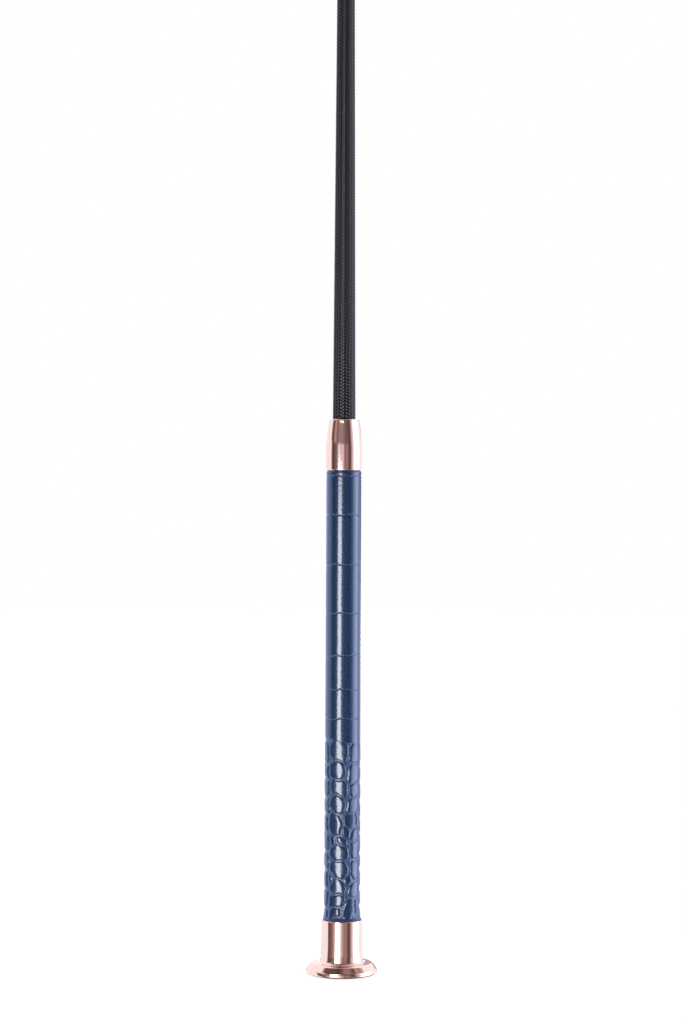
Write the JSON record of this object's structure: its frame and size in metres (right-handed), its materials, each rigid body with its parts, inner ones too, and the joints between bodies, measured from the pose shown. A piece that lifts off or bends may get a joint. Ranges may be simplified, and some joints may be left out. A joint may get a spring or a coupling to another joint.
{
  "type": "riding crop",
  "caption": "Riding crop with a mushroom end cap, embossed leather grip, metal collar, braided tapering shaft and a sewn leather keeper that flexes at the tip.",
  "frame": {"origin": "centre of the end cap's flat end face", "axes": "+Z runs along the shaft towards the keeper; the keeper's flat faces look along -Y and +Y; the grip's seam is on the +X side"},
  "size_m": [0.0302, 0.0302, 0.65],
  "materials": {
    "plated_metal": "polished rose-gold plating",
    "tube_plastic": "moulded",
    "glass_fibre": "pulled fibreglass",
    "embossed_leather": "glazed, embossed with reptile scales",
    "seam_thread": "waxed thread",
    "braid": "tight braided nylon",
    "keeper_leather": "smooth bridle leather",
    "binding_thread": "waxed binding thread"
  },
  "bodies": {
    "crop": {"end_cap": "plated_metal", "handle_tube": "tube_plastic", "core_rod": "glass_fibre", "grip_leather": "embossed_leather", "grip_seam_stitches": "seam_thread", "collar": "plated_metal", "braided_cover": "braid", "keeper_tongue_front": "keeper_leather", "keeper_tongue_back": "keeper_leather", "tip_binding": "binding_thread"},
    "keeper": {"keeper_leaf_front": "keeper_leather", "keeper_leaf_back": "keeper_leather", "keeper_stitches": "seam_thread"}
  },
  "joints": [
    {"name": "keeper_flex", "type": "hinge", "parent": "crop", "child": "keeper", "pos_m": [0, 0, 0.592], "axis": [1, 0, 0], "range_deg": [-50, 50], "stiffness_Nm_per_rad": 0.05}
  ]
}
